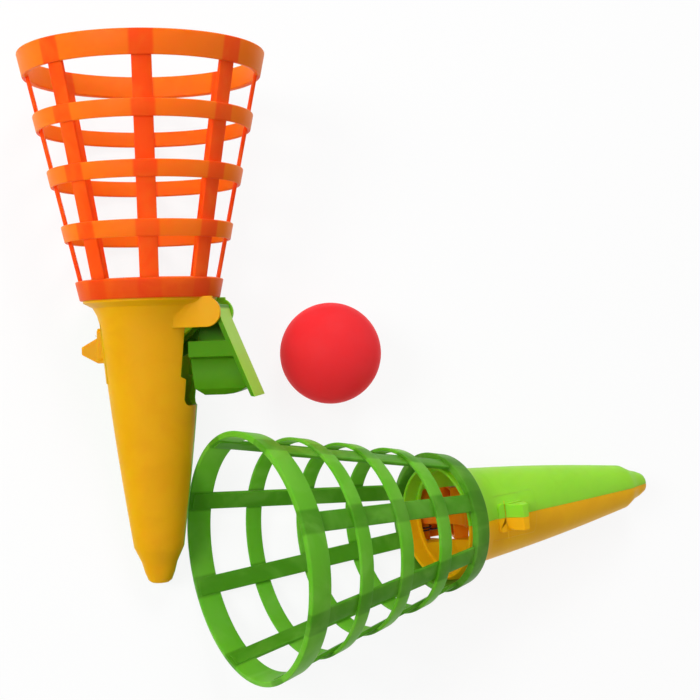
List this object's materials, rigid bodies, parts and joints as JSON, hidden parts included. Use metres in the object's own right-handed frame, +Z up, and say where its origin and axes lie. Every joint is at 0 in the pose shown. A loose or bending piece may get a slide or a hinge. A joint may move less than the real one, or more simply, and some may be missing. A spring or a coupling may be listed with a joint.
{
  "type": "ball catch toy",
  "caption": "Hand-held trigger launchers with flared lattice catch baskets and split moulded handles, with a light plastic ball to toss and catch.",
  "frame": {"origin": "on the table under the middle of the set's footprint, with both launchers and the ball laid as pictured", "axes": "+Z up from the table; +X to the right of the picture, along the handle of the green launcher; +Y away from the camera, along the orange launcher towards its rim"},
  "size_m": [0.2598, 0.242, 0.0899],
  "materials": {
    "orange_plastic": "semi-gloss moulded",
    "yellow_plastic": "semi-gloss moulded",
    "light_green_plastic": "semi-gloss moulded",
    "dark_green_plastic": "semi-gloss moulded",
    "red_plastic": "smooth",
    "steel": "plain drawn wire",
    "spring_steel": "plain spring wire"
  },
  "bodies": {
    "orange_launcher": {"orange_basket": "orange_plastic", "orange_yellow_shell": "yellow_plastic", "orange_green_shell": "light_green_plastic", "orange_pin": "steel", "orange_spring": "spring_steel"},
    "orange_lever": {"orange_trigger": "light_green_plastic"},
    "green_launcher": {"green_basket": "dark_green_plastic", "green_green_shell": "light_green_plastic", "green_yellow_shell": "yellow_plastic", "green_pin": "steel", "green_spring": "spring_steel"},
    "green_lever": {"green_trigger": "orange_plastic"},
    "loose_ball": {"ball": "red_plastic"}
  },
  "joints": [
    {"name": "orange_trigger_hinge", "type": "hinge", "parent": "orange_launcher", "child": "orange_lever", "pos_m": [-0.06405, 0.01552, 0.03736], "axis": [0.5, 0.1683, -0.8495], "range_deg": [0, 33], "stiffness_Nm_per_rad": 0.004, "springref_deg": -20.05, "deforming": ["orange_spring"]},
    {"name": "green_trigger_hinge", "type": "hinge", "parent": "green_launcher", "child": "green_lever", "pos_m": [0.02739, -0.06441, 0.0076], "axis": [0.0508, -0.9839, -0.1716], "range_deg": [-28.4, 4.6], "stiffness_Nm_per_rad": 0.004, "springref_deg": -48.47, "deforming": ["green_spring"]},
    {"name": "green_lift", "type": "slide", "parent": "orange_launcher", "child": "green_launcher", "axis": [0, 0, 1], "range_m": [0, 0.15]},
    {"name": "ball_lift", "type": "slide", "parent": "orange_launcher", "child": "loose_ball", "axis": [0, 0, 1], "range_m": [0, 0.15]}
  ]
}
